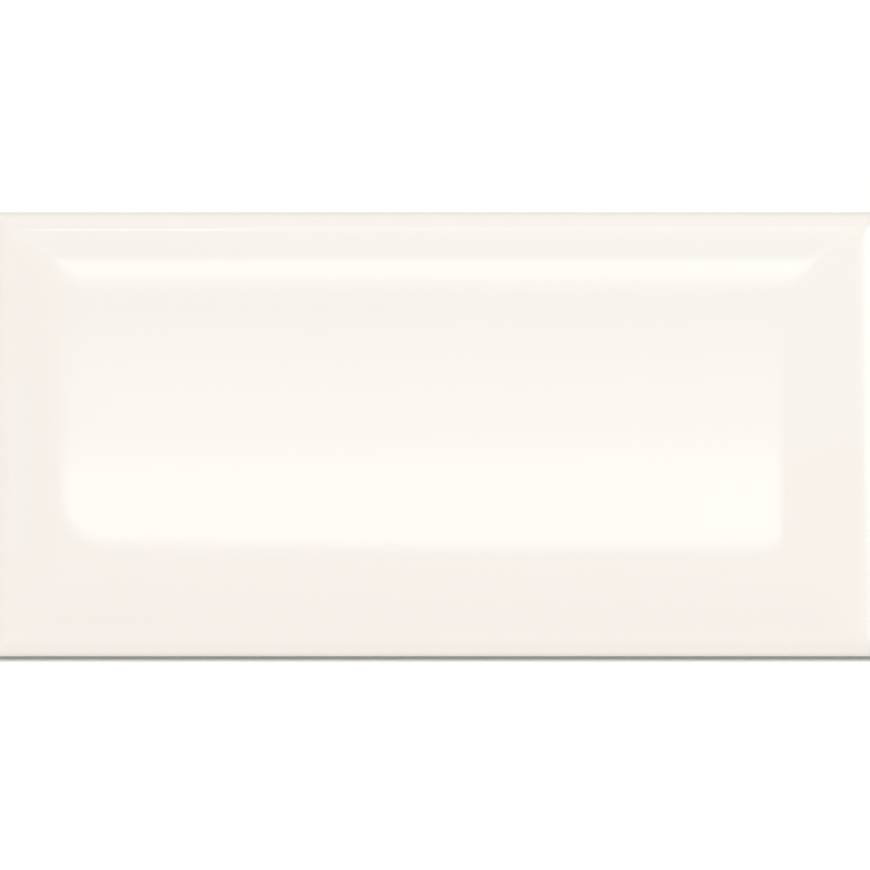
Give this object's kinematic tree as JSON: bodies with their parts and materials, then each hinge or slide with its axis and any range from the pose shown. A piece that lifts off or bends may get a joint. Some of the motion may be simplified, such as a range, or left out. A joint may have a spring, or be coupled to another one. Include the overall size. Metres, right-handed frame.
{
  "type": "subway wall tile",
  "caption": "Oblong glazed wall tile with a flat raised panel, soft shoulders, mitred bevels and cushioned edges; its unglazed back is keyed for adhesive.",
  "frame": {"origin": "middle of the back face, which rests on the floor", "axes": "+X along the tile's length, +Y across it, +Z out of the glazed face"},
  "size_m": [0.15, 0.075, 0.008],
  "materials": {
    "cream_glaze": "high-gloss cream-white glaze over an unglazed biscuit back"
  },
  "bodies": {
    "root": {"wall_tile": "cream_glaze"}
  },
  "joints": []
}
